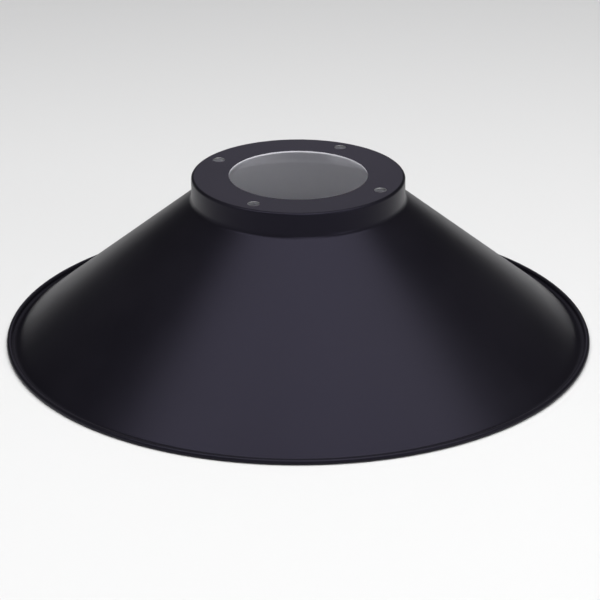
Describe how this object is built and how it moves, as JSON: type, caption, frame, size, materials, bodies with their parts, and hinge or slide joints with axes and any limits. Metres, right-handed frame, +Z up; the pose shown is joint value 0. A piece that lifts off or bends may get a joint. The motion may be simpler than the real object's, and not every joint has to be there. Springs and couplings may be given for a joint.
{
  "type": "high bay light reflector shade",
  "caption": "Spun metal cone reflector shade with a short neck, a flat bolted mounting flange round a centre opening, and a rolled rim bead.",
  "frame": {"origin": "centre of the circle on which the rim bead rests, at the base of the shade", "axes": "+Z up along the axis of revolution, from the rim to the mounting flange; the bolt holes lie on +X, +Y, -X and -Y"},
  "size_m": [0.4099, 0.41, 0.1185],
  "materials": {
    "shade": "satin black powder coat outside, white enamel inside"
  },
  "bodies": {
    "root": {"shade": "shade"}
  },
  "joints": []
}
